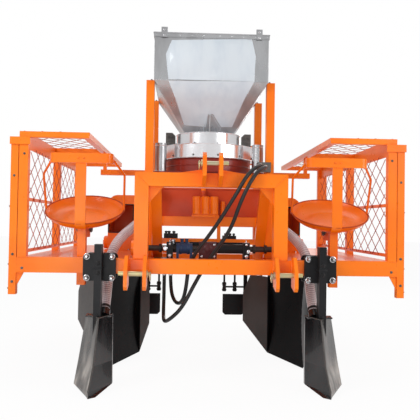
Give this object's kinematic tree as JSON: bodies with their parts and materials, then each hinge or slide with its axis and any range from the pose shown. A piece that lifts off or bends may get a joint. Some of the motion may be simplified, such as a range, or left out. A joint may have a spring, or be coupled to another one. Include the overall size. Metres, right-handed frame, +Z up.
{
  "type": "sugarcane planter",
  "caption": "Tractor-mounted sugarcane planter: hitch portal, fertiliser hopper on posts, operator seats in mesh cages, feed boxes, share boots, furrow openers and press wheels.",
  "frame": {"origin": "on the ground under the centre of the overall box", "axes": "+X to the machine's left-hand row as it drives, seen to the right from the hitch; -Y is the hitch and forward; +Z up"},
  "size_m": [2.354, 2.208, 2.108],
  "materials": {
    "orange_paint": "gloss",
    "stainless": "polished",
    "dark_steel": "satin",
    "zinc": "satin",
    "black_paint": "gloss",
    "bare_steel": "satin",
    "blue_paint": "satin",
    "red_paint": "satin",
    "clear_hose": "ribbed",
    "black_rubber": "satin"
  },
  "bodies": {
    "frame": {"main_beam": "orange_paint", "portal_frame": "orange_paint", "upper_hitch_plates": "orange_paint", "upper_hitch_pin": "zinc", "lower_hitch_plates": "orange_paint", "lower_hitch_pins": "zinc", "chassis_frame": "orange_paint", "platform_floors": "orange_paint", "hopper_posts": "orange_paint", "hopper": "stainless", "spreader_drum": "stainless", "drum_base": "orange_paint", "gate_brackets": "dark_steel", "outlet_spouts": "stainless", "portal_stays": "orange_paint", "cross_bars": "orange_paint", "bar_fittings": "orange_paint", "shaft_guard": "dark_steel", "drive_gearbox": "orange_paint", "tension_spring": "orange_paint", "cage_posts": "orange_paint", "wall_rails": "orange_paint", "roof_frames": "orange_paint", "outer_posts": "orange_paint", "mesh_rising": "orange_paint", "mesh_falling": "orange_paint", "side_ties": "orange_paint", "seats": "orange_paint", "seat_posts": "orange_paint", "clamp_plates": "black_paint", "shanks": "black_paint", "share_boots": "black_paint", "furrow_openers": "black_paint", "opener_tails": "black_paint", "feed_boxes": "orange_paint", "gear_cases": "orange_paint", "chain_guards": "orange_paint", "drive_motor": "blue_paint", "gear_block": "red_paint", "shaft_bearings": "dark_steel", "wheel_arms": "black_paint", "covering_plates": "black_paint", "feed_hose_left": "clear_hose", "feed_hose_right": "clear_hose", "oil_hose_first": "black_rubber", "oil_hose_second": "black_rubber", "hose_ports": "dark_steel", "hose_bulkhead": "dark_steel"},
    "cross_shaft": {"cross_shaft": "bare_steel"},
    "front_roller_left": {"front_roller_left": "bare_steel"},
    "front_roller_right": {"front_roller_right": "bare_steel"},
    "rear_roller_left": {"rear_roller_left": "bare_steel"},
    "rear_roller_right": {"rear_roller_right": "bare_steel"},
    "press_wheel_left": {"press_wheel_left": "black_paint"},
    "press_wheel_right": {"press_wheel_right": "black_paint"}
  },
  "joints": [
    {"name": "cross_shaft_spin", "type": "hinge", "parent": "frame", "child": "cross_shaft", "pos_m": [0, -0.658, 0.765], "axis": [1, 0, 0], "continuous": true},
    {"name": "front_roller_left_spin", "type": "hinge", "parent": "frame", "child": "front_roller_left", "pos_m": [-0.615, 0.254, 0.765], "axis": [1, 0, 0], "continuous": true},
    {"name": "front_roller_right_spin", "type": "hinge", "parent": "frame", "child": "front_roller_right", "pos_m": [0.615, 0.254, 0.765], "axis": [1, 0, 0], "continuous": true},
    {"name": "rear_roller_left_spin", "type": "hinge", "parent": "frame", "child": "rear_roller_left", "pos_m": [-0.615, 0.384, 0.765], "axis": [1, 0, 0], "continuous": true},
    {"name": "rear_roller_right_spin", "type": "hinge", "parent": "frame", "child": "rear_roller_right", "pos_m": [0.615, 0.384, 0.765], "axis": [1, 0, 0], "continuous": true},
    {"name": "press_wheel_left_spin", "type": "hinge", "parent": "frame", "child": "press_wheel_left", "pos_m": [-0.615, 0.804, 0.205], "axis": [1, 0, 0], "continuous": true},
    {"name": "press_wheel_right_spin", "type": "hinge", "parent": "frame", "child": "press_wheel_right", "pos_m": [0.615, 0.804, 0.205], "axis": [1, 0, 0], "continuous": true}
  ],
  "couplings": [
    {"joint": "front_roller_left_spin", "follows": "cross_shaft_spin", "ratio": 1},
    {"joint": "front_roller_right_spin", "follows": "cross_shaft_spin", "ratio": 1},
    {"joint": "rear_roller_left_spin", "follows": "cross_shaft_spin", "ratio": -1},
    {"joint": "rear_roller_right_spin", "follows": "cross_shaft_spin", "ratio": -1}
  ]
}
